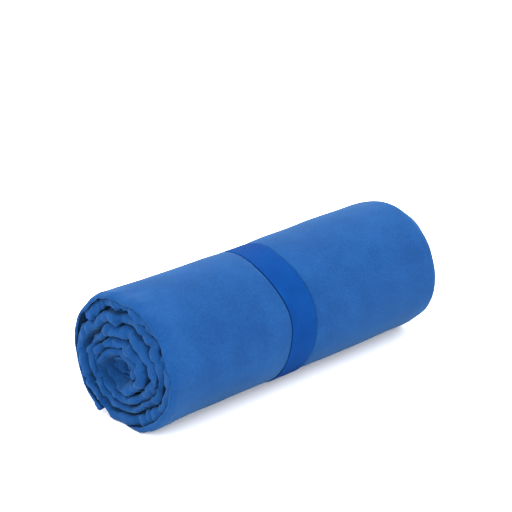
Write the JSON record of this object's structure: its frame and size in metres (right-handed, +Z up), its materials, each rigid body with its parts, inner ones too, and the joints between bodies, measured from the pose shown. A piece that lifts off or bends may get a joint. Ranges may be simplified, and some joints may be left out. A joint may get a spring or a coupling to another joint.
{
  "type": "quick dry towel",
  "caption": "Microfibre towel folded lengthwise, rolled into a short thick cylinder and held round its middle by a woven elastic band.",
  "frame": {"origin": "middle of the overall box, on the surface the roll lies on", "axes": "+X along the axis of the roll, with the rolled end that shows no side hems at -X; +Z up"},
  "size_m": [0.218, 0.0827, 0.0773],
  "materials": {
    "microfibre_cloth": "soft suede nap, matte with a faint sheen",
    "overlock_thread": "stitched thread",
    "elastic_webbing": "finely ribbed woven elastic",
    "seam_thread": "dense bar tack"
  },
  "bodies": {
    "roll": {"towel_cloth": "microfibre_cloth", "flap_end_overlock": "overlock_thread", "inner_layers_overlock": "overlock_thread", "core_end_overlock": "overlock_thread", "side_edge_overlock_1": "overlock_thread", "side_edge_overlock_2": "overlock_thread"},
    "band": {"elastic_band": "elastic_webbing", "band_bar_tack_1": "seam_thread", "band_bar_tack_2": "seam_thread"}
  },
  "joints": [
    {"name": "band_slide", "type": "slide", "parent": "roll", "child": "band", "axis": [1, 0, 0], "range_m": [-0.14, 0.15], "deforming": ["elastic_band", "band_bar_tack_1", "band_bar_tack_2"]}
  ]
}
